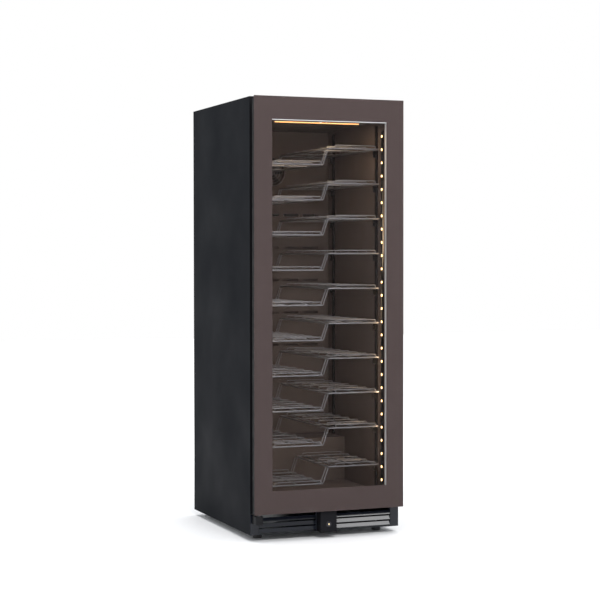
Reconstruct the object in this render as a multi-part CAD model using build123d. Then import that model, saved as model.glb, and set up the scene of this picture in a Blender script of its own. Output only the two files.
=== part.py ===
from build123d import *
import math
import os

# Tall single-zone wine cooler, in millimetres. Origin: centre of the footprint on the floor.
# +Z is up, the door faces -Y, and the door is hung on the left (-X).

# Overall size
WIDTH, DEPTH, HEIGHT = 595.0, 720.0, 1625.0
SIDE = WIDTH / 2
FRONT, REAR = -DEPTH / 2, DEPTH / 2
SHEET = 1.0

# Cabinet
CABINET_BOTTOM = 23.0
CABINET_FRONT = FRONT + 50.0
TRIM_THICKNESS = 2.0
SKIN = SIDE - SHEET
BODY_FLOOR = 102.0
RETURN_FLANGE = 13.0

# Cooled compartment, inside faces of the liner
INNER_SIDE = 250.0
INNER_FLOOR, INNER_CEILING = 150.0, 1550.0
INNER_REAR = 302.0
LINER_WALL = 2.0
HUMP_FRONT, HUMP_TOP = 100.0, 322.0

# Machine bay, behind and below the hump
BAY_FRONT, BAY_TOP = 139.0, 286.0
COMPRESSOR_X, COMPRESSOR_Y = -165.0, 252.0
INLET_X, INLET_Z = 210.0, 80.0

# Door
DOOR_BOTTOM = 102.3
GLASS = 4.0
PRINT = 0.4
FRAME_DEPTH = 22.0
WINDOW_SIDE, WINDOW_BOTTOM, WINDOW_TOP = 227.0, 188.0, 1541.0
POCKET, SPACER = 16.0, 15.5
GLASS_BACK = FRONT + GLASS
PRINT_BACK = GLASS_BACK + PRINT
SPACER_BACK = PRINT_BACK + SPACER
PANE_BACK = SPACER_BACK + GLASS
FRAME_BACK = FRONT + GLASS + FRAME_DEPTH
TRIM_BACK = FRAME_BACK + 3.0

# Door hinge
PIVOT_X, PIVOT_Y = -275.0, -343.0
PIN_R, BUSH_BORE_R, BUSH_R = 4.0, 4.05, 7.0
TOP_NOTCH_FLOOR = 1614.5

# Racks: a lower left half and an upper right half joined by a step
RACK_HALF = 238.0
RACK_FRONT, RACK_REAR, SHORT_RACK_REAR = -265.0, 245.0, 75.0
RACK_COUNT, RACK_PITCH = 10, 131.0
LOWEST_RACK, LOWEST_GAP = 192.0, 145.0
STEP_RISE = 62.0
RAIL_R, CROSS_R, LONG_WIRE_R, STOP_WIRE_R = 2.8, 2.4, 2.0, 1.7
WELD_GAP = 0.1
LOW_RIM, HIGH_RIM = (-238.0, 9.0), (30.0, 238.0)
LOW_WIRES, HIGH_WIRES = (-184.0, -1.0), (60.0, 222.0)
ROW_PITCH, STOP_HEIGHT = 85.0, 12.0

# Lights
LED_Y, LED_PITCH, LED_FIRST, LED_COUNT = -276.0, 50.0, 196.0, 27
CEILING_LIGHT_HALF, CEILING_LIGHT_Y = 168.0, -230.0

# Lock
LOCK_Z, BARREL_R, CRANK_R, BOLT_RISE = 52.0, 8.0, 8.5, 12.0
BLOCK_HALF, BLOCK_FRONT, BLOCK_TOP = 33.0, FRONT + 18.0, 100.0

# Feet
FOOT_X, FOOT_FRONT_Y, FOOT_REAR_Y = 241.0, -230.0, 268.0
FOOT_R, STEM_R, STEM_BORE_R = 17.0, 5.0, 5.05

# Fans
EVAPORATOR_FAN_Z, EVAPORATOR_FAN_R = 1384.0, 52.0
CONDENSER_FAN_X, CONDENSER_FAN_Z, CONDENSER_FAN_R = 95.0, 155.0, 62.0
SHAFT_R, SHAFT_BORE_R = 2.5, 2.55
DUCT_FACE = INNER_REAR - 40.0


def block(x0, x1, y0, y1, z0, z1):
    """A box between two corners."""
    size = Box(x1 - x0, y1 - y0, z1 - z0)
    return Pos((x0 + x1) / 2, (y0 + y1) / 2, (z0 + z1) / 2) * size


def rod_x(x0, x1, y, z, radius):
    return Pos((x0 + x1) / 2, y, z) * Rot(0, 90, 0) * Cylinder(radius, x1 - x0)


def rod_y(x, y0, y1, z, radius):
    return Pos(x, (y0 + y1) / 2, z) * Rot(90, 0, 0) * Cylinder(radius, y1 - y0)


def rod_z(x, y, z0, z1, radius):
    return Pos(x, y, (z0 + z1) / 2) * Cylinder(radius, z1 - z0)


def joined(pieces):
    """One solid from pieces that overlap."""
    return pieces[0].fuse(*pieces[1:]) if len(pieces) > 1 else pieces[0]


def wire(points, radius, bend):
    """A round wire along straight runs with rounded corners."""
    path = FilletPolyline(*points, radius=bend)
    profile = Plane(origin=path @ 0, z_dir=path % 0) * Circle(radius)
    return sweep(profile, path=path)


def ring(y0, y1, outer, inner, corner=0.0):
    """A rectangular ring facing -Y; outer and inner are (half width, bottom, top)."""
    def slab(half, bottom, top, radius):
        width, height = 2 * half, top - bottom
        outline = RectangleRounded(width, height, radius) if radius else Rectangle(width, height)
        return extrude(Plane.XZ.offset(-y1) * Pos(0, (bottom + top) / 2) * outline, y1 - y0)
    return slab(*outer, corner) - slab(*inner, max(corner - 4.0, 0.0))


def rack_heights():
    """Height of the lower rail of each rack, from the bottom one up."""
    heights = [LOWEST_RACK]
    for level in range(RACK_COUNT - 1):
        heights.append(LOWEST_RACK + LOWEST_GAP + level * RACK_PITCH)
    return heights


# --- outer casing -----------------------------------------------------------

def side_panel(side):
    """Sheet side wall with a return flange at the front and at the rear."""
    def span(a, b):
        return sorted((side * a, side * b))
    wall = block(*span(SKIN, SIDE), CABINET_FRONT, REAR, CABINET_BOTTOM, HEIGHT)
    trim_rear = CABINET_FRONT + TRIM_THICKNESS
    flange = span(SKIN - RETURN_FLANGE, SKIN)
    top = HEIGHT - 2 * SHEET
    front = block(*flange, trim_rear, trim_rear + SHEET, BODY_FLOOR + SHEET, top)
    rear = block(*flange, REAR - 2 * SHEET, REAR - SHEET, BAY_TOP + SHEET, top)
    return wall + front + rear


def top_panel():
    lid = block(-SKIN, SKIN, CABINET_FRONT, REAR - SHEET, HEIGHT - SHEET, HEIGHT)
    trim_rear = CABINET_FRONT + TRIM_THICKNESS
    reach = SKIN - RETURN_FLANGE
    lip = block(-reach, reach, trim_rear, trim_rear + SHEET, HEIGHT - RETURN_FLANGE, HEIGHT - SHEET)
    return lid + lip


def back_panel():
    """Flat rear sheet above the machine bay."""
    return block(-SKIN, SKIN, REAR - SHEET, REAR, BAY_TOP, HEIGHT)


def base_pan():
    """Bottom tray with upturned edges and a nut for each foot."""
    pan = block(-SKIN, SKIN, CABINET_FRONT + 24, REAR - 2 * SHEET, CABINET_BOTTOM, CABINET_BOTTOM + 1.5)
    for y in (CABINET_FRONT + 24, REAR - 2 * SHEET - 1.5):
        pan += block(-SKIN, SKIN, y, y + 1.5, CABINET_BOTTOM, CABINET_BOTTOM + 14)
    for x, y in foot_places().values():
        pan += rod_z(x, y, CABINET_BOTTOM, CABINET_BOTTOM + 14, 9)
        pan -= rod_z(x, y, CABINET_BOTTOM - 1, CABINET_BOTTOM + 15, STEM_BORE_R)
    return pan


def bay_partition():
    """Folded sheet under the insulated floor and round the machine bay."""
    floor = block(-SKIN, SKIN, CABINET_FRONT + 24, BAY_FRONT + SHEET, BODY_FLOOR, BODY_FLOOR + SHEET)
    wall = block(-SKIN, SKIN, BAY_FRONT, BAY_FRONT + SHEET, BODY_FLOOR, BAY_TOP)
    roof = block(-SKIN, SKIN, BAY_FRONT, REAR - 2 * SHEET, BAY_TOP - SHEET, BAY_TOP)
    return floor + wall + roof


def rear_grille():
    """Cover of the machine bay with rows of air slots and a window for the mains inlet."""
    cover = block(-SKIN, SKIN, REAR - 2 * SHEET, REAR - SHEET, CABINET_BOTTOM + 16, BAY_TOP - SHEET - 1)
    slots = []
    for row in range(9):
        for column in range(4):
            x = -240 + column * 110
            z = 60 + row * 24
            slots.append(block(x, x + 84, REAR - 4, REAR + 1, z, z + 7))
    cover = cover.cut(*slots)
    return cover - block(INLET_X - 26, INLET_X + 26, REAR - 4, REAR + 1, INLET_Z - 20, INLET_Z + 20)


def insulation():
    """Foam that fills the wall between the casing and the liner."""
    trim_rear = CABINET_FRONT + TRIM_THICKNESS
    foam = block(-SKIN, SKIN, trim_rear + SHEET, REAR - 2 * SHEET, BODY_FLOOR + SHEET, HEIGHT - SHEET)
    foam -= block(-SIDE, SIDE, BAY_FRONT, REAR, 0, BAY_TOP)
    half = INNER_SIDE + LINER_WALL
    rear = INNER_REAR + LINER_WALL
    room = block(-half, half, FRONT, rear, INNER_FLOOR - LINER_WALL, INNER_CEILING + LINER_WALL)
    step = block(-half - 1, half + 1, HUMP_FRONT - LINER_WALL, REAR, 0, HUMP_TOP - LINER_WALL)
    return foam - (room - step)


def liner():
    """Inner box of the cooled compartment, open to the front, stepped over the machine bay."""
    half = INNER_SIDE + LINER_WALL
    front, rear = CABINET_FRONT + TRIM_THICKNESS, INNER_REAR + LINER_WALL
    outside = block(-half, half, front, rear, INNER_FLOOR - LINER_WALL, INNER_CEILING + LINER_WALL)
    outside -= block(-half - 1, half + 1, HUMP_FRONT - LINER_WALL, REAR, 0, HUMP_TOP - LINER_WALL)
    inside = block(-INNER_SIDE, INNER_SIDE, FRONT, INNER_REAR, INNER_FLOOR, INNER_CEILING)
    inside -= block(-half, half, HUMP_FRONT - 2 * LINER_WALL, REAR, 0, HUMP_TOP)
    return outside - inside


def front_trim():
    """Frame round the mouth of the compartment, which the door seal closes on."""
    outer = (SKIN, BODY_FLOOR + SHEET, HEIGHT - SHEET)
    inner = (INNER_SIDE, INNER_FLOOR, INNER_CEILING)
    return ring(CABINET_FRONT, CABINET_FRONT + TRIM_THICKNESS, outer, inner)


# --- plinth and lock --------------------------------------------------------

def plinth_grille(side):
    """Louvred half of the plinth with a solid end block."""
    face, depth, inner = CABINET_FRONT, 22.0, BLOCK_HALF + 1
    def span(a, b):
        return sorted((side * a, side * b))
    pieces = [
        block(*span(264, SKIN), face, face + depth, CABINET_BOTTOM, 100),
        block(*span(inner, inner + 4), face, face + depth, CABINET_BOTTOM, 100),
        block(*span(inner, 266), face, face + depth, 96, 100),
        block(*span(inner, 266), face, face + depth, CABINET_BOTTOM, 26),
    ]
    for z in (37.0, 57.0, 77.0):
        corners = [(face + 0.6, z - 7), (face + 5.8, z + 7), (face + 9, z + 7), (face + 3.8, z - 7)]
        outline = make_face(Polyline(*corners, close=True))
        low, high = span(inner + 2, 265)
        section = Plane(origin=(low, 0, 0), x_dir=(0, 1, 0), z_dir=(1, 0, 0))
        pieces.append(extrude(section * outline, high - low))
    return joined(pieces)


def lock_block():
    """Centre block of the plinth, hollow behind its face, with the barrel bore and the bolt slot."""
    outside = block(-BLOCK_HALF, BLOCK_HALF, BLOCK_FRONT, CABINET_FRONT + 22, CABINET_BOTTOM, BLOCK_TOP)
    edges = outside.edges().filter_by(Axis.Z).sort_by(Axis.Y)[:2]
    outside = fillet(edges, 4)
    outside -= block(-27, 27, BLOCK_FRONT + 9, CABINET_FRONT + 23, 28, 95)
    outside -= block(-9.6, 9.6, BLOCK_FRONT + 2.2, BLOCK_FRONT + 10, 72, BLOCK_TOP + 1)
    return outside - rod_y(0, BLOCK_FRONT - 1, BLOCK_FRONT + 10, LOCK_Z, BARREL_R + 0.05)


def lock_escutcheon():
    """Raised ring round the barrel."""
    disc = rod_y(0, BLOCK_FRONT - 2, BLOCK_FRONT, LOCK_Z, 11)
    disc = chamfer(disc.faces().sort_by(Axis.Y)[0].edges(), 1.2)
    return disc - rod_y(0, BLOCK_FRONT - 3, BLOCK_FRONT + 1, LOCK_Z, BARREL_R + 0.1)


def lock_barrel():
    """Keyed plug with a crank pin behind it, standing 45 degrees below level when unlocked."""
    back = BLOCK_FRONT + 10
    plug = rod_y(0, BLOCK_FRONT - 2.6, back, LOCK_Z, BARREL_R)
    plug += rod_y(0, back, back + 3, LOCK_Z, CRANK_R + 2.5)
    plug -= block(-4, 4, BLOCK_FRONT - 4, BLOCK_FRONT + 4, LOCK_Z - 0.8, LOCK_Z + 0.8)
    angle = math.radians(-45)
    pin_x, pin_z = CRANK_R * math.cos(angle), LOCK_Z + CRANK_R * math.sin(angle)
    return plug + rod_y(pin_x, back + 2, back + 7, pin_z, 1.5)


def lock_bolt():
    """Cranked bolt plate: a slotted tail behind the barrel and a tongue below the door."""
    tail_front = BLOCK_FRONT + 13.5
    slot_z = LOCK_Z - CRANK_R * math.sin(math.radians(45))
    tail = block(-14, 14, tail_front, tail_front + 3, slot_z - 6, 80)
    tail -= block(-11, 11, tail_front - 1, tail_front + 4, slot_z - 2.1, slot_z + 2.1)
    shelf = block(-9, 9, BLOCK_FRONT + 2.8, tail_front + 3, 77, 80)
    tongue = block(-9, 9, BLOCK_FRONT + 2.8, BLOCK_FRONT + 7.2, 77, 99.5)
    return tail + shelf + tongue


# --- hinges -----------------------------------------------------------------

def hinge_bracket_bottom():
    """Bracket that carries the door's weight, rounded about the pin and hollow below."""
    top, bottom, half = 97.0, 66.0, 14.5
    body = block(PIVOT_X - half, PIVOT_X + half, PIVOT_Y, CABINET_FRONT, bottom, top)
    body += rod_z(PIVOT_X, PIVOT_Y, bottom, top, half)
    hollow = block(PIVOT_X - half + 3, PIVOT_X + half - 3, PIVOT_Y, CABINET_FRONT - 4, bottom - 1, top - 7)
    hollow += rod_z(PIVOT_X, PIVOT_Y, bottom - 1, top - 7, half - 3)
    return body - hollow - rod_z(PIVOT_X, PIVOT_Y, top - 8, top + 1, PIN_R)


def hinge_bracket_top():
    """Flat dog-leg arm in the notch of the door head, with a flange on the cabinet."""
    outline = make_face(Polyline(
        (PIVOT_X - 7, PIVOT_Y + 7), (PIVOT_X + 7, PIVOT_Y - 7), (-226, -322), (-222, CABINET_FRONT),
        (-262, CABINET_FRONT), (-268, -323), close=True))
    arm = extrude(Pos(0, 0, 1617) * outline, 4)
    arm += rod_z(PIVOT_X, PIVOT_Y, 1617, 1621, 10)
    arm += block(-262, -222, CABINET_FRONT - 3, CABINET_FRONT, 1604, 1621)
    return arm - rod_z(PIVOT_X, PIVOT_Y, 1616, 1622, PIN_R)


def hinge_pins():
    return [rod_z(PIVOT_X, PIVOT_Y, 90, 117, PIN_R), rod_z(PIVOT_X, PIVOT_Y, 1601, 1621, PIN_R)]


def hinge_bushes():
    """Flanged bushes pressed into the door's bottom and top rails."""
    low = rod_z(PIVOT_X, PIVOT_Y, DOOR_BOTTOM + 1, 119, BUSH_R)
    low += rod_z(PIVOT_X, PIVOT_Y, 98, DOOR_BOTTOM, 9)
    low += rod_z(PIVOT_X, PIVOT_Y, DOOR_BOTTOM - 0.5, DOOR_BOTTOM + 1.5, BUSH_R)
    low -= rod_z(PIVOT_X, PIVOT_Y, 90, 118, BUSH_BORE_R)
    high = rod_z(PIVOT_X, PIVOT_Y, 1599, TOP_NOTCH_FLOOR, BUSH_R)
    high += rod_z(PIVOT_X, PIVOT_Y, TOP_NOTCH_FLOOR, 1616.3, 9)
    high -= rod_z(PIVOT_X, PIVOT_Y, 1600, 1620, BUSH_BORE_R)
    return [low, high]


# --- door -------------------------------------------------------------------

def door_glass():
    """Full-face outer pane."""
    pane = RectangleRounded(WIDTH, HEIGHT - DOOR_BOTTOM, 2.5)
    plane = Plane.XZ.offset(-GLASS_BACK) * Pos(0, (HEIGHT + DOOR_BOTTOM) / 2)
    solid = extrude(plane * pane, GLASS)
    return chamfer(solid.faces().sort_by(Axis.Y)[0].edges(), 0.6)


def door_border():
    """Opaque print on the back of the pane, round the window."""
    outer = (SIDE - 0.5, DOOR_BOTTOM + 0.5, HEIGHT - 0.5)
    return ring(GLASS_BACK, PRINT_BACK, outer, (WINDOW_SIDE, WINDOW_BOTTOM, WINDOW_TOP))


def door_frame():
    """Two stiles and two rails behind the print, cut for the hinges and the lock bolt."""
    side, low, high = SIDE - 1, DOOR_BOTTOM + 1, HEIGHT - 1
    inner, sill, head = WINDOW_SIDE + POCKET, WINDOW_BOTTOM - POCKET, WINDOW_TOP + POCKET
    left = block(-side, -inner, PRINT_BACK, FRAME_BACK, sill, head)
    right = block(inner, side, PRINT_BACK, FRAME_BACK, sill, head)
    bottom = block(-side, side, PRINT_BACK, FRAME_BACK, low, sill)
    bottom -= rod_z(PIVOT_X, PIVOT_Y, 90, 121, BUSH_R)
    bottom -= block(-11, 11, BLOCK_FRONT + 1.5, FRAME_BACK + 1, 90, 116)
    top = block(-side, side, PRINT_BACK, FRAME_BACK, head, high)
    top -= hinge_notch()
    top -= rod_z(PIVOT_X, PIVOT_Y, 1597, 1630, BUSH_R)
    return [left, right, bottom, top]


def hinge_notch():
    """Room for the top hinge arm through the door's whole swing."""
    return block(-SIDE - 5, -205, PIVOT_Y - 11.5, CABINET_FRONT, TOP_NOTCH_FLOOR, HEIGHT + 5)


def door_spacer():
    """Metal spacer bar between the two panes; its top run hangs just below the print."""
    outer = (WINDOW_SIDE + 12, WINDOW_BOTTOM - 12, WINDOW_TOP + 12)
    inner = (WINDOW_SIDE + 0.3, WINDOW_BOTTOM - 3.5, WINDOW_TOP - 2.5)
    return ring(PRINT_BACK, SPACER_BACK, outer, inner)


def door_inner_glass():
    half, low, high = WINDOW_SIDE + POCKET - 1, WINDOW_BOTTOM - POCKET + 1, WINDOW_TOP + POCKET - 1
    return block(-half, half, SPACER_BACK, PANE_BACK, low, high)


def door_inner_trim():
    """Cover frame on the inside of the door that holds the pane and the seal."""
    outer = (SIDE - 3, DOOR_BOTTOM + 3, HEIGHT - 3)
    trim = ring(FRAME_BACK, TRIM_BACK, outer, (WINDOW_SIDE + 6, WINDOW_BOTTOM - 6, WINDOW_TOP + 6))
    trim += ring(PANE_BACK, FRAME_BACK, (WINDOW_SIDE + 12, WINDOW_BOTTOM - 12, WINDOW_TOP + 12),
                 (WINDOW_SIDE + 6, WINDOW_BOTTOM - 6, WINDOW_TOP + 6))
    return trim - hinge_notch()


def door_gasket():
    """Magnetic seal: foot, bellows and sealing head, standing just off the cabinet trim."""
    def band(y0, y1, half_width):
        middle = 264.0
        low, high = INNER_FLOOR - 14, INNER_CEILING + 14
        outer = (middle + half_width, low - half_width, high + half_width)
        inner = (middle - half_width, low + half_width, high - half_width)
        return ring(y0, y1, outer, inner)
    head = CABINET_FRONT - 0.6
    return joined([band(TRIM_BACK, TRIM_BACK + 4, 8), band(TRIM_BACK + 3, head - 5, 4.5),
                   band(head - 6, head, 8)])


# --- racks ------------------------------------------------------------------

def rack_shelf(left, right, first, last, base, rear):
    """Flat welded shelf: closed rim, long wires, cross wires and raised stops between the bottle rows."""
    middle = (RACK_FRONT + rear) / 2
    pieces = []
    for y in (RACK_FRONT, rear):
        rim = [(left, middle, base), (left, y, base), (right, y, base), (right, middle, base)]
        pieces.append(wire(rim, RAIL_R, 6.5))
    for x in (first, (first + last) / 2, last):
        pieces.append(rod_y(x, RACK_FRONT - 1, rear + 1, base + 1.5, LONG_WIRE_R))
    rows = int((rear - RACK_FRONT) / ROW_PITCH)
    pitch = (rear - RACK_FRONT) / rows
    top = base + STOP_HEIGHT
    for row in range(rows + 1):
        y = RACK_FRONT + row * pitch
        stop = [(first, y, base + 1), (first, y, top), (last, y, top), (last, y, base + 1)]
        pieces.append(wire(stop, STOP_WIRE_R, 4))
    for row in (1.6, rows - 1.6):
        pieces.append(rod_x(left + 1, right - 1, RACK_FRONT + row * pitch, base + 0.3, CROSS_R))
    return joined(pieces)


def rack_braces(rear):
    """Slanting wires that carry the upper shelf on the lower one, in pairs at the front and the rear."""
    run = Vector(HIGH_RIM[0] - LOW_RIM[1], 0, STEP_RISE)
    reach = run.length - 2 * (RAIL_R + WELD_GAP)
    braces = []
    for y in (RACK_FRONT, RACK_FRONT + 22, rear - 22, rear):
        start = Vector(LOW_RIM[1], y, 0) + run.normalized() * (RAIL_R + WELD_GAP)
        braces.append(extrude(Plane(origin=start, z_dir=run) * Circle(LONG_WIRE_R), reach))
    return braces


def rack(rear):
    """Stepped rack: a lower left shelf and an upper right one, so that bottles lie neck to neck."""
    low = rack_shelf(*LOW_RIM, *LOW_WIRES, 0, rear)
    high = rack_shelf(*HIGH_RIM, *HIGH_WIRES, STEP_RISE, rear)
    return [low, high] + rack_braces(rear)


def rack_posts():
    """Four slotted posts on the side walls with a hook plate under each rack corner."""
    posts = []
    for side in (-1, 1):
        for y in (RACK_FRONT + 45, RACK_REAR - 40):
            low, high = sorted((side * (INNER_SIDE - 6), side * INNER_SIDE))
            floor = HUMP_TOP + 2 if y > HUMP_FRONT else INNER_FLOOR + 12
            pieces = [block(low, high, y - 9, y + 9, floor, INNER_CEILING - 12)]
            for height in rack_heights():
                z = height + (STEP_RISE if side > 0 else 0)
                top = z - RAIL_R - 0.2
                if top < floor + 20:
                    continue
                reach = sorted((side * (RACK_HALF - 5), side * (INNER_SIDE - 3)))
                pieces.append(block(*reach, y - 1.5, y + 1.5, top - 26, top))
            posts.append(joined(pieces))
    return posts


# --- lights and controls ----------------------------------------------------

def led_channels():
    """Slim light channels down both side walls, near the door."""
    last = LED_FIRST + LED_PITCH * (LED_COUNT - 1)
    channels = []
    for side in (-1, 1):
        low, high = sorted((side * (INNER_SIDE - 6), side * INNER_SIDE))
        base = block(low, high, LED_Y - 7, LED_Y + 7, LED_FIRST - 22, last + 22)
        low, high = sorted((side * (INNER_SIDE - 7), side * (INNER_SIDE - 4)))
        groove = block(low, high, LED_Y - 4, LED_Y + 4, LED_FIRST - 16, last + 16)
        channels.append(base - groove)
    return channels


def led_chips():
    """One small lamp every 50 mm in each channel."""
    chips = []
    for side in (-1, 1):
        low, high = sorted((side * (INNER_SIDE - 4), side * (INNER_SIDE - 5.5)))
        for i in range(LED_COUNT):
            z = LED_FIRST + i * LED_PITCH
            chips.append(block(low, high, LED_Y - 2.5, LED_Y + 2.5, z - 2.5, z + 2.5))
    return chips


def ceiling_console():
    """Plate under the ceiling that carries the light bar and the controls."""
    plate = block(-190, 190, -276, -200, 1544, INNER_CEILING)
    plate = fillet(plate.edges().filter_by(Axis.Z), 8)
    half, y = CEILING_LIGHT_HALF, CEILING_LIGHT_Y
    plate -= block(-half, half, y - 5, y + 5, 1543, 1547)
    return plate - block(-50, 50, -268, -246, 1543, 1546)


def ceiling_light():
    y = CEILING_LIGHT_Y
    return block(-CEILING_LIGHT_HALF, CEILING_LIGHT_HALF, y - 5, y + 5, 1541, 1547)


def control_panel():
    """Touch panel with its display, set into the console and facing down."""
    return block(-50, 50, -268, -246, 1542.5, 1546)


# --- cooling circuit --------------------------------------------------------

def rotor(radius, y0, y1, blades):
    """Axial fan wheel about the Y axis through the origin."""
    hub_r = radius * 0.34
    pieces = [rod_y(0, y0, y1, 0, hub_r)]
    depth = y1 - y0
    for i in range(blades):
        reach = radius - hub_r + 2
        blade = Pos(hub_r - 2 + reach / 2, (y0 + y1) / 2, 0) * Rot(52, 0, 0) * Box(reach, 1.6, depth * 1.25)
        pieces.append(Rot(0, i * 360 / blades, 0) * blade)
    wheel = joined(pieces)
    wheel = wheel & rod_y(0, y0 - 4, y1 + 4, 0, radius)
    return wheel - rod_y(0, y0 - 5, y1 + 5, 0, SHAFT_BORE_R)


def fan_support(radius, y0, y1, shaft_start):
    """Shroud ring with spokes, a motor can and its shaft, about the Y axis through the origin."""
    ring_part = rod_y(0, y0, y1, 0, radius + 7) - rod_y(0, y0 - 1, y1 + 1, 0, radius + 3)
    pieces = [ring_part, rod_y(0, y1 - 9, y1, 0, radius * 0.3), rod_y(0, shaft_start, y1 - 4, 0, SHAFT_R)]
    for i in range(4):
        spoke = Box(radius + 5, 3, 5)
        pieces.append(Rot(0, 45 + i * 90, 0) * Pos((radius + 5) / 2, y1 - 2, 0) * spoke)
    return joined(pieces)


def air_duct_panel():
    """Rear wall cover with the fan opening, its shroud and rows of air slots."""
    face = DUCT_FACE
    panel = block(-INNER_SIDE + 2, INNER_SIDE - 2, face, face + 3, HUMP_TOP + 2, INNER_CEILING - 2)
    panel -= rod_y(0, face - 1, face + 4, EVAPORATOR_FAN_Z, EVAPORATOR_FAN_R + 3)
    slots = []
    for row in range(7):
        z = 420 + row * 131
        for column in range(5):
            x = -200 + column * 84
            if abs(x + 32) < 90 and abs(z - EVAPORATOR_FAN_Z) < 90:
                continue
            slots.append(block(x, x + 64, face - 1, face + 4, z, z + 8))
    panel = panel.cut(*slots)
    support = fan_support(EVAPORATOR_FAN_R, face + 2, INNER_REAR - 4, face + 8)
    return panel + Pos(0, 0, EVAPORATOR_FAN_Z) * support


def evaporator_fan():
    return Pos(0, 0, EVAPORATOR_FAN_Z) * rotor(EVAPORATOR_FAN_R, DUCT_FACE + 8, DUCT_FACE + 24, 7)


def fin_coil(x0, x1, y0, y1, z0, z1, pitch):
    """Finned heat exchanger: end plates, fins and straight tubes through them."""
    pieces = []
    rows = int((z1 - z0) / 26)
    columns = 1 if y1 - y0 < 34 else 2
    for row in range(rows):
        z = z0 + (row + 0.5) * (z1 - z0) / rows
        for column in range(columns):
            y = y0 + (column + 0.5) * (y1 - y0) / columns
            pieces.append(rod_x(x0 - 6, x1 + 6, y, z, 4))
    count = int((x1 - x0) / pitch)
    for i in range(count + 1):
        x = x0 + i * (x1 - x0) / count
        pieces.append(block(x - 0.6, x + 0.6, y0, y1, z0, z1))
    return joined(pieces)


def evaporator():
    return fin_coil(-190, 190, INNER_REAR - 33, INNER_REAR - 4, 1150, 1300, 12)


def condenser():
    return fin_coil(10, 190, 148, 184, 60, 250, 9)


def condenser_fan_frame():
    """Square plate and shroud that hold the condenser fan behind the condenser."""
    plate = block(CONDENSER_FAN_X - 80, CONDENSER_FAN_X + 80, 192, 195, CABINET_BOTTOM + 1.5, 240)
    plate -= rod_y(CONDENSER_FAN_X, 190, 197, CONDENSER_FAN_Z, CONDENSER_FAN_R + 3)
    support = fan_support(CONDENSER_FAN_R, 194, 236, 200)
    return plate + Pos(CONDENSER_FAN_X, 0, CONDENSER_FAN_Z) * support


def condenser_fan():
    return Pos(CONDENSER_FAN_X, 0, CONDENSER_FAN_Z) * rotor(CONDENSER_FAN_R, 200, 222, 5)


def compressor():
    """Hermetic compressor can on a base plate, with its terminal cover."""
    can = rod_z(COMPRESSOR_X, COMPRESSOR_Y, 46, 196, 72)
    can = fillet(can.edges().filter_by(GeomType.CIRCLE), 22)
    seam = rod_z(COMPRESSOR_X, COMPRESSOR_Y, 116, 122, 75)
    plate = block(COMPRESSOR_X - 95, COMPRESSOR_X + 95, COMPRESSOR_Y - 55, COMPRESSOR_Y + 55, 43, 47)
    cover = block(COMPRESSOR_X + 60, COMPRESSOR_X + 92, COMPRESSOR_Y - 24, COMPRESSOR_Y + 24, 90, 140)
    return joined([can, seam, plate, cover])


def compressor_mounts():
    """Four rubber grommets between the compressor and the base pan."""
    mounts = []
    for x in (-80, 80):
        for y in (-42, 42):
            mounts.append(rod_z(COMPRESSOR_X + x, COMPRESSOR_Y + y, CABINET_BOTTOM + 1.5, 43, 11))
    return mounts


def drip_tray():
    """Open tray above the compressor that catches and evaporates defrost water."""
    tray = block(COMPRESSOR_X - 95, COMPRESSOR_X + 80, 160, 340, 240, 268)
    tray = fillet(tray.edges().filter_by(Axis.Z), 10)
    return tray - block(COMPRESSOR_X - 92, COMPRESSOR_X + 77, 163, 337, 243, 270)


def refrigerant_pipes():
    """Discharge pipe with the filter dryer, and the suction pipe up to the bay roof."""
    discharge = wire([(COMPRESSOR_X + 40, 252, 196), (COMPRESSOR_X + 40, 252, 216), (-20, 252, 216),
                      (-20, 166, 216), (6, 166, 216)], 3, 9)
    dryer = rod_x(-12, 0, 166, 216, 9)
    suction = wire([(COMPRESSOR_X - 30, 252, 196), (COMPRESSOR_X - 30, 252, 226),
                    (COMPRESSOR_X - 110, 252, 226), (COMPRESSOR_X - 110, 252, BAY_TOP - SHEET - 0.5)], 4, 12)
    return [discharge + dryer, suction]


def control_box():
    """Closed box for the control board, with a seam step round its lid."""
    box = block(172, 288, 250, 342, CABINET_BOTTOM + 25, 150)
    box = fillet(box.edges().filter_by(Axis.Z), 4)
    lid = block(170, 290, 248, 344, 126, 132)
    return box + fillet(lid.edges().filter_by(Axis.Z), 5)


def mains_inlet():
    """Appliance inlet: a shrouded socket with three blades."""
    body = block(INLET_X - 24, INLET_X + 24, 342, REAR, INLET_Z - 16, INLET_Z + 16)
    body -= block(INLET_X - 13, INLET_X + 13, 346, REAR + 1, INLET_Z - 8.5, INLET_Z + 8.5)
    for dx, dz in ((-7, -3), (7, -3), (0, 3)):
        x, z = INLET_X + dx, INLET_Z + dz
        body += block(x - 1, x + 1, 345, 352, z - 2, z + 2)
    return body


def foot_places():
    return {
        "front_left": (-FOOT_X, FOOT_FRONT_Y), "front_right": (FOOT_X, FOOT_FRONT_Y),
        "rear_left": (-FOOT_X, FOOT_REAR_Y), "rear_right": (FOOT_X, FOOT_REAR_Y),
    }


def levelling_foot(x, y):
    """Round pad with a wrench hexagon and a threaded stem."""
    pad = rod_z(x, y, 0, 11, FOOT_R)
    pad = fillet(pad.edges().filter_by(GeomType.CIRCLE), 1.5)
    hexagon = extrude(Pos(x, y, 10) * RegularPolygon(9, 6), 9)
    stem = rod_z(x, y, 15, 40, STEM_R)
    return joined([pad, hexagon, stem])


def screws():
    """Screw heads of the two hinge brackets and of the rear grille."""
    heads = []
    for x in (-254, -230):
        heads.append(rod_y(x, CABINET_FRONT - 5.5, CABINET_FRONT - 3, 1611, 3.5))
    for x in (PIVOT_X - 7, PIVOT_X + 7):
        heads.append(rod_y(x, CABINET_FRONT - 6.5, CABINET_FRONT - 4, 74, 3))
    for x in (-270, 0, 270):
        for z in (48, 275):
            heads.append(rod_y(x, REAR - SHEET, REAR, z, 4))
    return heads


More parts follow.
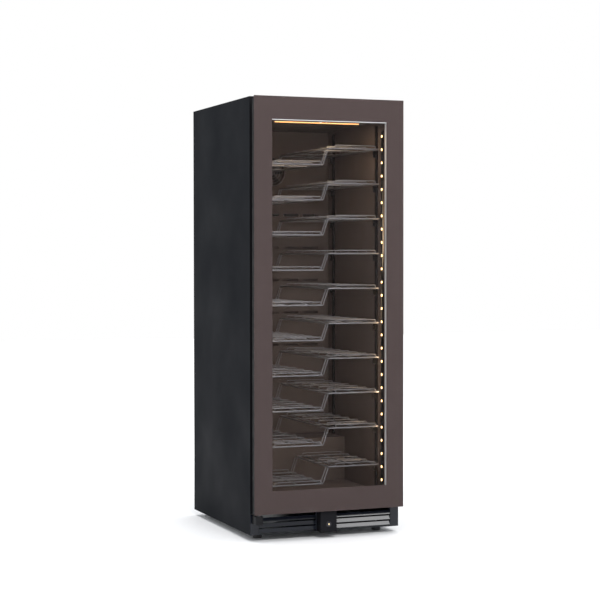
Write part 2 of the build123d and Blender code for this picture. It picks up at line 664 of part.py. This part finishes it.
def build_all():
    parts = {
        "side_panel_left": side_panel(-1), "side_panel_right": side_panel(1),
        "top_panel": top_panel(), "back_panel": back_panel(), "base_pan": base_pan(),
        "bay_partition": bay_partition(), "rear_grille": rear_grille(),
        "insulation": insulation(), "liner": liner(), "front_trim": front_trim(),
        "plinth_grille_left": plinth_grille(-1), "plinth_grille_right": plinth_grille(1),
        "lock_block": lock_block(), "lock_escutcheon": lock_escutcheon(),
        "lock_barrel": lock_barrel(), "lock_bolt": lock_bolt(),
        "hinge_bracket_bottom": hinge_bracket_bottom(), "hinge_bracket_top": hinge_bracket_top(),
        "hinge_pins": hinge_pins(), "hinge_bushes": hinge_bushes(),
        "door_glass": door_glass(), "door_border": door_border(), "door_frame": door_frame(),
        "door_spacer": door_spacer(), "door_inner_glass": door_inner_glass(),
        "door_inner_trim": door_inner_trim(), "door_gasket": door_gasket(),
        "rack_posts": rack_posts(), "led_channels": led_channels(), "led_chips": led_chips(),
        "ceiling_console": ceiling_console(), "ceiling_light": ceiling_light(),
        "control_panel": control_panel(), "air_duct_panel": air_duct_panel(),
        "evaporator": evaporator(), "evaporator_fan": evaporator_fan(),
        "compressor": compressor(), "compressor_mounts": compressor_mounts(),
        "condenser": condenser(), "condenser_fan_frame": condenser_fan_frame(),
        "condenser_fan": condenser_fan(), "drip_tray": drip_tray(),
        "refrigerant_pipes": refrigerant_pipes(), "control_box": control_box(),
        "mains_inlet": mains_inlet(), "screws": screws(),
    }
    deep, short = rack(RACK_REAR), rack(SHORT_RACK_REAR)
    for level, height in enumerate(rack_heights()):
        pieces = short if level == 0 else deep
        parts[f"rack_{level + 1:02d}"] = [Pos(0, 0, height) * piece for piece in pieces]
    for place, (x, y) in foot_places().items():
        parts[f"foot_{place}"] = levelling_foot(x, y)
    return parts


def main():
    os.makedirs("parts", exist_ok=True)
    for name, shape in build_all().items():
        solids = shape if isinstance(shape, list) else [shape]
        pieces = [solid for part in solids for solid in part.solids()]
        shape = pieces[0] if len(pieces) == 1 else Compound(children=pieces)
        export_step(shape, f"parts/{name}.step")


main()
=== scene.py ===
import math

import bmesh
import bpy
from mathutils import Matrix, Vector

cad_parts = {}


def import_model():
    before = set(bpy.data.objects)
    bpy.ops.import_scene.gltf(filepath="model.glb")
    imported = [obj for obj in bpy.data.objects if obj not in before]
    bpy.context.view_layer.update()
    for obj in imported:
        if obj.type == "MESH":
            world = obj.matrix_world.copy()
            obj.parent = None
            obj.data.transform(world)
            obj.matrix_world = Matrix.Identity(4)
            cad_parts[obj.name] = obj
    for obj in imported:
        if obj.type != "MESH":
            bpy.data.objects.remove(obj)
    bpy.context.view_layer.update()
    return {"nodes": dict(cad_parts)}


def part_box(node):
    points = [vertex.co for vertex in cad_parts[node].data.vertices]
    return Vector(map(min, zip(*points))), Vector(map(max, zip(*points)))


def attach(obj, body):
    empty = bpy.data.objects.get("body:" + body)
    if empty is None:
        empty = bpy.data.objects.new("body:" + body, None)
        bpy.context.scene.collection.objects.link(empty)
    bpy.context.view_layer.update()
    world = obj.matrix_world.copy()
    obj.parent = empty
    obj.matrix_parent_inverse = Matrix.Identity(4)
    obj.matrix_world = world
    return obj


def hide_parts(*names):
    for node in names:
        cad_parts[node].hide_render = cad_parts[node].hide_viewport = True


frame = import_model()
nodes = frame["nodes"]
scene = bpy.context.scene


# --- small helpers ----------------------------------------------------------

def linear(red, green, blue):
    """A colour given as 0-255 display values, as the linear colour that shaders take."""
    def channel(value):
        value /= 255
        return value / 12.92 if value <= 0.04045 else ((value + 0.055) / 1.055) ** 2.4
    return (channel(red), channel(green), channel(blue), 1.0)


def scaled(colour, factor):
    return tuple(min(1.0, c * factor) for c in colour[:3]) + (1.0,)


class Shader:
    """A node tree with short calls for the nodes that the materials share."""

    def __init__(self, name):
        self.material = bpy.data.materials.new(name)
        self.material.use_nodes = True
        self.tree = self.material.node_tree
        self.principled = self.tree.nodes["Principled BSDF"]
        self.output = self.tree.nodes["Material Output"]
        self.place = self.add("ShaderNodeTexCoord").outputs["Object"]

    def add(self, kind, **values):
        node = self.tree.nodes.new(kind)
        for name, value in values.items():
            setattr(node, name, value)
        return node

    def link(self, source, target):
        self.tree.links.new(source, target)

    def set(self, **values):
        for name, value in values.items():
            self.principled.inputs[name.replace("_", " ")].default_value = value

    def noise(self, scale, detail=4.0, stretch=None):
        node = self.add("ShaderNodeTexNoise")
        node.inputs["Scale"].default_value = scale
        node.inputs["Detail"].default_value = detail
        place = self.place
        if stretch:
            mapping = self.add("ShaderNodeMapping")
            mapping.inputs["Scale"].default_value = stretch
            self.link(place, mapping.inputs["Vector"])
            place = mapping.outputs["Vector"]
        self.link(place, node.inputs["Vector"])
        return node.outputs["Fac"]

    def ramp(self, factor, low, high, start=0.3, end=0.7):
        node = self.add("ShaderNodeValToRGB")
        node.color_ramp.elements[0].position = start
        node.color_ramp.elements[0].color = low
        node.color_ramp.elements[1].position = end
        node.color_ramp.elements[1].color = high
        self.link(factor, node.inputs["Fac"])
        return node.outputs["Color"]

    def spread(self, factor, low, high):
        node = self.add("ShaderNodeMapRange")
        node.inputs["From Min"].default_value = 0.3
        node.inputs["From Max"].default_value = 0.7
        node.inputs["To Min"].default_value = low
        node.inputs["To Max"].default_value = high
        self.link(factor, node.inputs["Value"])
        return node.outputs["Result"]

    def bump(self, height, strength, distance=0.001):
        node = self.add("ShaderNodeBump")
        node.inputs["Strength"].default_value = strength
        node.inputs["Distance"].default_value = distance
        self.link(height, node.inputs["Height"])
        self.link(node.outputs["Normal"], self.principled.inputs["Normal"])


def surface(name, colour, roughness, variation=0.12, patch=9.0, grain=900.0, bump=0.1, **values):
    """A solid finish: slow colour drift, uneven gloss and a fine surface grain."""
    shader = Shader(name)
    drift = shader.noise(patch, 5.0)
    shader.link(shader.ramp(drift, scaled(colour, 1 - variation), scaled(colour, 1 + variation)),
                shader.principled.inputs["Base Color"])
    fine = shader.noise(grain, 3.0)
    gloss = shader.noise(patch * 4, 6.0)
    shader.link(shader.spread(gloss, roughness * 0.85, min(1.0, roughness * 1.18)),
                shader.principled.inputs["Roughness"])
    shader.bump(fine, bump, 0.0004)
    shader.set(**values)
    return shader.material


def glowing(name, colour, strength):
    """A lamp face, a little hotter in its middle patches."""
    shader = Shader(name)
    drift = shader.noise(600.0, 2.0)
    shader.link(shader.ramp(drift, scaled(colour, 0.8), colour), shader.principled.inputs["Base Color"])
    shader.link(shader.ramp(drift, scaled(colour, 0.85), colour), shader.principled.inputs["Emission Color"])
    shader.set(Roughness=0.4, Emission_Strength=strength)
    return shader.material


def pane(name, tint, cover, reflection, roughness=0.05, smudge=0.03):
    """Coated glass that covers part of what is behind it, with faint wiping marks in its gloss."""
    shader = Shader(name)
    marks = shader.noise(7.0, 8.0, (1.0, 1.0, 0.35))
    shader.link(shader.spread(marks, roughness, roughness + smudge), shader.principled.inputs["Roughness"])
    drift = shader.noise(2.0, 2.0)
    shader.link(shader.ramp(drift, scaled(tint, 0.97), tint), shader.principled.inputs["Base Color"])
    shader.set(IOR=1.45, Alpha=cover, Specular_IOR_Level=reflection)
    return shader.material


# --- materials --------------------------------------------------------------

CASING = linear(19, 21, 25)
BLACK = linear(26, 26, 28)
WARM = linear(255, 206, 140)

materials = {
    "casing": surface("casing_powder_coat", CASING, 0.62, 0.012, 0.8, 1400.0, 0.1, Specular_IOR_Level=0.03),
    "zinc": surface("galvanised_sheet", linear(150, 152, 154), 0.4, 0.07, 60.0, 300.0, 0.05, Metallic=1.0),
    "foam": surface("rigid_foam", linear(222, 205, 160), 0.9, 0.12, 30.0, 700.0, 0.5),
    "liner": surface("liner_satin_black", linear(86, 77, 74), 0.6, 0.06, 5.0, 1100.0, 0.1,
                     Specular_IOR_Level=0.15),
    "trim": surface("trim_matte_black", linear(20, 20, 22), 0.6, 0.1, 12.0, 1300.0, 0.15,
                    Specular_IOR_Level=0.08),
    "plinth": surface("plinth_moulded_black", linear(20, 23, 31), 0.09, 0.06, 14.0, 1000.0, 0.01,
                      Specular_IOR_Level=0.32),
    "block": surface("lock_block_matte_black", linear(23, 23, 26), 0.55, 0.1, 14.0, 1300.0, 0.14,
                     Specular_IOR_Level=0.06),
    # Outer door glass: a faint lit brown veil, partly its tint and partly a painted reflection, since the
    # glass's own reflection is turned off
    "glass": pane("door_glass_tint_and_painted_veil", linear(66, 56, 55), 0.04, 0.0),
    # Border print: a dark print lifted to brown-grey, partly its own colour and partly a painted reflection
    # of the studio in the glass in front
    "print": surface("border_print_with_painted_reflection", linear(66, 56, 55), 0.4, 0.02, 2.0, 2400.0, 0.03,
                     Specular_IOR_Level=0.1),
    "inner_glass": pane("inner_glass_clear", linear(60, 62, 61), 0.03, 0.0),
    "spacer": surface("spacer_aluminium", linear(196, 196, 198), 0.5, 0.06, 30.0, 500.0, 0.04, Metallic=0.3),
    "rubber": surface("seal_rubber", linear(20, 20, 21), 0.62, 0.15, 20.0, 800.0, 0.2,
                      Specular_IOR_Level=0.3),
    "steel": surface("zinc_plated_steel", linear(168, 168, 170), 0.28, 0.15, 60.0, 900.0, 0.06, Metallic=1.0),
    "bracket": surface("bracket_black_coat", linear(22, 22, 24), 0.5, 0.12, 30.0, 1500.0, 0.16,
                       Specular_IOR_Level=0.12),
    "acetal": surface("acetal_bush", linear(38, 38, 40), 0.45, 0.06, 40.0, 900.0, 0.06),
    "black_chrome": surface("lock_black_chrome", linear(58, 58, 62), 0.3, 0.06, 80.0, 1200.0, 0.04,
                            Metallic=1.0),
    "brass": surface("lock_pale_brass", linear(232, 214, 170), 0.2, 0.08, 120.0, 1200.0, 0.05, Metallic=1.0),
    "wire": surface("rack_satin_chrome", linear(118, 117, 121), 0.42, 0.08, 40.0, 900.0, 0.03, Metallic=0.6),
    "anodised": surface("anodised_black", linear(44, 44, 46), 0.35, 0.1, 30.0, 900.0, 0.05, Metallic=0.8),
    "lamp": glowing("lamp_warm_white", WARM, 9.0),
    "lamp_bar": glowing("lamp_bar_warm_white", linear(255, 180, 112), 2.2),
    "digits": glowing("display_digits_white", linear(235, 240, 255), 2.0),
    "gloss": surface("gloss_black_panel", linear(14, 14, 16), 0.08, 0.1, 10.0, 500.0, 0.01),
    "fins": surface("bare_aluminium_fins", linear(178, 180, 182), 0.32, 0.14, 50.0, 600.0, 0.1, Metallic=1.0),
    "fan": surface("fan_moulded_black", linear(28, 28, 30), 0.42, 0.12, 20.0, 900.0, 0.1),
    "enamel": surface("compressor_black_enamel", linear(22, 22, 24), 0.22, 0.15, 18.0, 500.0, 0.12),
    "grommet": surface("grommet_rubber", linear(38, 38, 38), 0.7, 0.15, 40.0, 600.0, 0.2),
    "tray": surface("tray_natural_plastic", linear(212, 211, 205), 0.4, 0.05, 12.0, 900.0, 0.08),
    "copper": surface("dulled_copper_pipe", linear(172, 110, 80), 0.3, 0.25, 30.0, 400.0, 0.08, Metallic=1.0),
    "control": surface("control_box_grey", linear(72, 72, 76), 0.5, 0.08, 12.0, 1200.0, 0.16),
    "foot": surface("foot_moulded_black", linear(28, 28, 30), 0.5, 0.14, 30.0, 1100.0, 0.16),
}

FINISHES = {
    "casing": ["side_panel_left", "side_panel_right", "top_panel", "rear_grille"],
    "zinc": ["back_panel", "base_pan", "bay_partition"],
    "foam": ["insulation"],
    "liner": ["liner", "ceiling_console", "air_duct_panel"],
    "trim": ["front_trim", "door_frame", "door_inner_trim"],
    "plinth": ["plinth_grille_left", "plinth_grille_right"],
    "block": ["lock_block"],
    "glass": ["door_glass"],
    "print": ["door_border"],
    "inner_glass": ["door_inner_glass"],
    "spacer": ["door_spacer"],
    "rubber": ["door_gasket"],
    "steel": ["hinge_pins", "lock_bolt", "screws"],
    "bracket": ["hinge_bracket_bottom", "hinge_bracket_top", "rack_posts"],
    "acetal": ["hinge_bushes"],
    "black_chrome": ["lock_escutcheon", "lock_barrel"],
    "wire": [name for name in nodes if name.startswith("rack_") and name != "rack_posts"],
    "anodised": ["led_channels"],
    "lamp": ["led_chips"],
    "lamp_bar": ["ceiling_light"],
    "gloss": ["control_panel"],
    "fins": ["evaporator", "condenser"],
    "fan": ["evaporator_fan", "condenser_fan_frame", "condenser_fan", "mains_inlet"],
    "enamel": ["compressor"],
    "grommet": ["compressor_mounts"],
    "tray": ["drip_tray"],
    "copper": ["refrigerant_pipes"],
    "control": ["control_box"],
    "foot": [name for name in nodes if name.startswith("foot_")],
}


def finish_nodes():
    for finish, names in FINISHES.items():
        for name in names:
            mesh = nodes[name].data
            mesh.materials.clear()
            mesh.materials.append(materials[finish])


# --- added pieces -----------------------------------------------------------

def mesh_piece(name, fill, material, body):
    """A new piece whose mesh fill(bm) builds in place."""
    bm = bmesh.new()
    fill(bm)
    mesh = bpy.data.meshes.new(name)
    bm.to_mesh(mesh)
    bm.free()
    piece = bpy.data.objects.new(name, mesh)
    scene.collection.objects.link(piece)
    mesh.materials.append(material)
    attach(piece, body)
    return piece


def smooth(piece):
    for polygon in piece.data.polygons:
        polygon.use_smooth = True


def lamp_domes():
    """A glowing dome over every side lamp."""
    low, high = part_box("led_chips")
    pitch, half_chip, dome = 0.05, 0.0025, 0.0042
    squash = Matrix.Diagonal((0.42, 1.0, 1.0, 1.0))
    first = low.z + half_chip
    count = round((high.z - low.z - 2 * half_chip) / pitch) + 1
    y = (low.y + high.y) / 2
    for side, x in (("left", low.x), ("right", high.x)):
        inward = 1 if side == "left" else -1

        def fill(bm, x=x, inward=inward):
            for i in range(count):
                place = Matrix.Translation((x + inward * 0.0016, y, first + i * pitch))
                bmesh.ops.create_uvsphere(bm, u_segments=16, v_segments=10, radius=dome,
                                          matrix=place @ squash)
        smooth(mesh_piece(f"lamp_domes_{side}", fill, materials["lamp"], "cabinet"))


def lathe(bm, place, rings, segments=32, closed=False):
    """Rings of (radius, height) turned about local Z and capped, or joined end to end when closed."""
    loops = []
    for radius, height in rings:
        loop = []
        for i in range(segments):
            angle = 2 * math.pi * i / segments
            reach = radius(angle) if callable(radius) else radius
            point = Vector((reach * math.cos(angle), reach * math.sin(angle), height))
            loop.append(bm.verts.new(place @ point))
        loops.append(loop)
    pairs = list(zip(loops, loops[1:] + loops[:1])) if closed else list(zip(loops, loops[1:]))
    for low, high in pairs:
        for i in range(segments):
            j = (i + 1) % segments
            bm.faces.new((low[i], low[j], high[j], high[i]))
    if not closed:
        bm.faces.new(list(reversed(loops[0])))
        bm.faces.new(loops[-1])


def wire_ring(bm, place, radius, thickness, sides=8):
    """A round wire bent into a circle about local Z."""
    section = []
    for i in range(sides):
        angle = -2 * math.pi * i / sides
        section.append((radius + thickness * math.cos(angle), -thickness * math.sin(angle)))
    lathe(bm, place, section, 64, closed=True)


def facing(x, y, z, direction):
    """A frame at a point whose local Z looks along a direction."""
    turn = Vector(direction).to_track_quat("Z", "Y").to_matrix().to_4x4()
    return Matrix.Translation((x, y, z)) @ turn


def tidy_normals(piece):
    """Turns every face of an added piece outward."""
    bm = bmesh.new()
    bm.from_mesh(piece.data)
    bmesh.ops.recalc_face_normals(bm, faces=bm.faces)
    bm.to_mesh(piece.data)
    bm.free()


def screw_heads():
    """Pan-head screws with a cross recess, in place of the plain heads."""
    def cross(size):
        return lambda angle: size * (0.3 + 0.7 * abs(math.cos(2 * angle)) ** 3)

    def head(bm, place, radius, height):
        outside = [(radius, 0), (radius, height * 0.45),
                   (radius * 0.9, height * 0.8), (radius * 0.66, height)]
        recess = [(cross(radius * 0.6), height), (cross(radius * 0.45), height * 0.35)]
        lathe(bm, place, outside + recess, 48)

    def fill(bm):
        bracket_face, cover_face = -0.310, 0.359
        for x in (-0.254, -0.230):
            head(bm, facing(x, bracket_face - 0.003, 1.611, (0, -1, 0)), 0.0034, 0.0024)
        for x in (-0.282, -0.268):
            head(bm, facing(x, bracket_face - 0.004, 0.074, (0, -1, 0)), 0.0029, 0.0024)
        for x in (-0.270, 0.0, 0.270):
            for z in (0.048, 0.275):
                head(bm, facing(x, cover_face, z, (0, 1, 0)), 0.004, 0.001)
    piece = mesh_piece("screw_heads", fill, materials["steel"], "cabinet")
    tidy_normals(piece)
    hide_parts("screws")


def lock_key_plate():
    """Pale brass key plate in the middle of the barrel."""
    lock_z = 0.052

    def slot(angle):
        return 0.0005 + 0.0008 * abs(math.cos(angle)) ** 4

    def fill(bm):
        low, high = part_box("lock_barrel")
        place = facing((low.x + high.x) / 2, low.y, lock_z, (0, -1, 0))
        plate = [(0.0031, -0.0008), (0.0031, 0.0003), (0.0027, 0.0006)]
        lathe(bm, place, plate + [(slot, 0.0006), (slot, -0.0006)], 40)
    piece = mesh_piece("lock_key_plate", fill, materials["brass"], "lock_barrel")
    tidy_normals(piece)


def fan_guard():
    """Wire guard over the fan opening in the rear duct."""
    centre_z, face = 1.384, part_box("air_duct_panel")[0].y
    wire = 0.0011

    def fill(bm):
        place = facing(0, face - 0.0042, centre_z, (0, -1, 0))
        for step in range(1, 6):
            wire_ring(bm, place, 0.011 * step + 0.0015, wire)
        spoke_place = facing(0, face - 0.0021, centre_z, (0, -1, 0))
        for step in range(4):
            around = Matrix.Rotation(math.pi / 4 + step * math.pi / 2, 4, "Z")
            turn = around @ Matrix.Rotation(math.pi / 2, 4, "Y")
            lathe(bm, spoke_place @ turn @ Matrix.Translation((0, 0, 0.008)),
                  [(wire, 0), (wire, 0.052), (wire * 0.6, 0.053)], 10)
    piece = mesh_piece("fan_guard", fill, materials["wire"], "cabinet")
    tidy_normals(piece)
    smooth(piece)


SEGMENTS = {"1": "bc", "2": "abged"}


def display():
    """Lit digits and touch marks on the control panel, which faces down."""
    low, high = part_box("control_panel")
    down, y_mid, height, width, stroke = low.z - 0.0002, (low.y + high.y) / 2, 0.0095, 0.0052, 0.0011
    bars = {"a": (0, 1, 1, 0), "g": (0, 0.5, 1, 0), "d": (0, 0, 1, 0),
            "f": (0, 0.5, 0, 0.5), "b": (1, 0.5, 0, 0.5), "e": (0, 0, 0, 0.5), "c": (1, 0, 0, 0.5)}

    def bar(bm, x0, y0, x1, y1):
        corners = [(x0, y0), (x1, y0), (x1, y1), (x0, y1)]
        bottom = [bm.verts.new((x, y, down)) for x, y in corners]
        top = [bm.verts.new((x, y, down + 0.0004)) for x, y in corners]
        bm.faces.new(list(reversed(bottom)))
        bm.faces.new(top)
        for i in range(4):
            j = (i + 1) % 4
            bm.faces.new((bottom[i], bottom[j], top[j], top[i]))

    def fill(bm):
        gap = stroke * 0.7
        for place, digit in enumerate("12"):
            x = -0.007 + place * 0.009
            for name in SEGMENTS[digit]:
                across, up, run, rise = bars[name]
                x0, y0 = x + across * width, y_mid - height / 2 + up * height
                if run:
                    bar(bm, x0 + gap, y0 - stroke / 2, x0 + width - gap, y0 + stroke / 2)
                else:
                    bar(bm, x0 - stroke / 2, y0 + gap, x0 + stroke / 2, y0 + height * rise - gap)
        for x in (-0.040, -0.028, 0.026, 0.038):
            bar(bm, x - 0.0016, y_mid - 0.0016, x + 0.0016, y_mid + 0.0016)
    tidy_normals(mesh_piece("display_digits", fill, materials["digits"], "cabinet"))


def inlet_blades():
    """Plated blades inside the mains inlet's shroud."""
    def fill(bm):
        for x, z in ((0.203, 0.077), (0.217, 0.077), (0.210, 0.083)):
            lathe(bm, facing(x, 0.346, z, (0, 1, 0)) @ Matrix.Rotation(math.pi / 4, 4, "Z"),
                  [(0.0020, 0.0), (0.0020, 0.0072), (0.0012, 0.0080)], 4)
    tidy_normals(mesh_piece("inlet_blades", fill, materials["steel"], "cabinet"))


SOFT_EDGES = {
    0.0004: ["side_panel_left", "side_panel_right", "top_panel", "back_panel", "base_pan", "bay_partition",
             "front_trim", "rack_posts", "led_channels", "condenser_fan_frame", "control_panel", "lock_bolt"],
    0.0008: ["plinth_grille_left", "plinth_grille_right", "door_frame", "door_inner_trim", "lock_block",
             "hinge_bracket_bottom", "hinge_bracket_top", "ceiling_console", "control_box", "mains_inlet",
             "liner"],
}


def soften_edges():
    """A small round on the sharp edges of the folded and moulded pieces."""
    for width, names in SOFT_EDGES.items():
        for name in names:
            weld = nodes[name].modifiers.new("weld", "WELD")
            weld.merge_threshold = 0.00001
            bevel = nodes[name].modifiers.new("soft_edges", "BEVEL")
            bevel.width = width
            bevel.segments = 2
            bevel.limit_method = "ANGLE"
            bevel.angle_limit = math.radians(40)
            bevel.harden_normals = False


# --- stage, light and camera ------------------------------------------------

def floor_finish():
    """White floor that glows more and more away from the object, so that no horizon shows."""
    shader = Shader("studio_floor_white")
    drift = shader.noise(1.0, 3.0)
    white = linear(232, 232, 233)
    shader.link(shader.ramp(drift, scaled(white, 0.997), white), shader.principled.inputs["Base Color"])
    away = shader.add("ShaderNodeVectorMath", operation="LENGTH")
    shader.link(shader.place, away.inputs[0])
    glow = shader.add("ShaderNodeMapRange", interpolation_type="SMOOTHSTEP")
    for socket, value in (("From Min", 0.7), ("From Max", 2.6), ("To Min", 0.0), ("To Max", 0.45)):
        glow.inputs[socket].default_value = value
    shader.link(away.outputs["Value"], glow.inputs["Value"])
    shader.link(glow.outputs["Result"], shader.principled.inputs["Emission Strength"])
    shader.set(Roughness=0.6, Specular_IOR_Level=0.1, Emission_Color=(1, 1, 1, 1))
    return shader.material


def studio():
    floor_mesh = bpy.data.meshes.new("studio_floor")
    reach = 14.0
    floor_mesh.from_pydata([(-reach, -reach, 0), (reach, -reach, 0), (reach, reach, 0), (-reach, reach, 0)],
                           [], [(0, 1, 2, 3)])
    floor = bpy.data.objects.new("studio_floor", floor_mesh)
    scene.collection.objects.link(floor)
    floor_mesh.materials.append(floor_finish())


def world():
    """White backdrop for the eye, a little cooler in the light that it sheds."""
    sky = bpy.data.worlds.new("studio")
    scene.world = sky
    sky.use_nodes = True
    tree = sky.node_tree
    tree.nodes.clear()
    output = tree.nodes.new("ShaderNodeOutputWorld")
    seen = tree.nodes.new("ShaderNodeBackground")
    seen.inputs["Color"].default_value = (1, 1, 1, 1)
    seen.inputs["Strength"].default_value = 1.0
    shed = tree.nodes.new("ShaderNodeBackground")
    shed.inputs["Color"].default_value = (0.96, 0.98, 1.0, 1)
    shed.inputs["Strength"].default_value = 1.0
    paths = tree.nodes.new("ShaderNodeLightPath")
    mix = tree.nodes.new("ShaderNodeMixShader")
    tree.links.new(paths.outputs["Is Camera Ray"], mix.inputs[0])
    tree.links.new(shed.outputs[0], mix.inputs[1])
    tree.links.new(seen.outputs[0], mix.inputs[2])
    tree.links.new(mix.outputs[0], output.inputs["Surface"])


def area_light(name, place, target, size, power, colour=(1, 1, 1), size_y=None):
    data = bpy.data.lights.new(name, "AREA")
    data.energy = power
    data.color = colour
    data.size = size
    if size_y:
        data.shape = "RECTANGLE"
        data.size_y = size_y
    light = bpy.data.objects.new(name, data)
    light.location = place
    light.rotation_euler = (Vector(target) - Vector(place)).to_track_quat("-Z", "Y").to_euler()
    scene.collection.objects.link(light)
    return light


def grille_card(place, target, power):
    """A low strip of light that only the plinth's slats mirror."""
    card = area_light("grille_card", place, target, 0.34, power, size_y=0.16)
    card.visible_camera = False
    card.visible_diffuse = False
    slats = bpy.data.collections.new("grille_card_receivers")
    slats.objects.link(nodes["plinth_grille_left"])
    slats.objects.link(nodes["plinth_grille_right"])
    card.light_linking.receiver_collection = slats


def lights():
    area_light("key_softbox", (-0.2, -4.4, 4.4), (0, 0, 0.7), 2.2, 170)
    area_light("overhead_softbox", (0, 0, 4.4), (0, 0, 0), 3.4, 150)
    grille_card((0.56, -1.02, 0.46), (0.15, -0.3, 0.05), 1.8)
    low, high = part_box("led_chips")
    warm = (1.0, 0.72, 0.42)
    for side, x in (("left", low.x), ("right", high.x)):
        inward = 1 if side == "left" else -1
        area_light(f"inside_{side}", (x + inward * 0.004, low.y, (low.z + high.z) / 2), (0, 0.02, 0.86),
                   0.01, 0.8, warm, high.z - low.z).visible_camera = False
    low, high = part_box("ceiling_light")
    area_light("inside_ceiling", ((low.x + high.x) / 2, (low.y + high.y) / 2, low.z - 0.003), (0, -0.05, 0.2),
               high.x - low.x, 1.0, warm, 0.012).visible_camera = False


def camera():
    """The view's place and turn: 21.4 degrees to the left of the door, a little downward."""
    place = Vector((-2.26874, -5.83640, 1.03636))
    yaw, pitch, roll = 0.373803, -0.0258994, -0.0010077
    forward = Vector((math.sin(yaw) * math.cos(pitch), math.cos(yaw) * math.cos(pitch), math.sin(pitch)))
    right = Vector((math.cos(yaw), -math.sin(yaw), 0))
    up = right.cross(forward)
    turned_right = right * math.cos(roll) + up * math.sin(roll)
    turned_up = up * math.cos(roll) - right * math.sin(roll)
    data = bpy.data.cameras.new("camera")
    data.lens = 96.695
    data.sensor_width = 36.0
    data.dof.use_dof = False
    data.clip_end = 100
    view = bpy.data.objects.new("camera", data)
    axes = Matrix((turned_right, turned_up, -forward)).transposed().to_4x4()
    view.matrix_world = Matrix.Translation(place) @ axes
    scene.collection.objects.link(view)
    scene.camera = view


finish_nodes()
soften_edges()
lamp_domes()
screw_heads()
lock_key_plate()
fan_guard()
display()
inlet_blades()
studio()
world()
lights()
camera()
scene.view_settings.view_transform = "Standard"
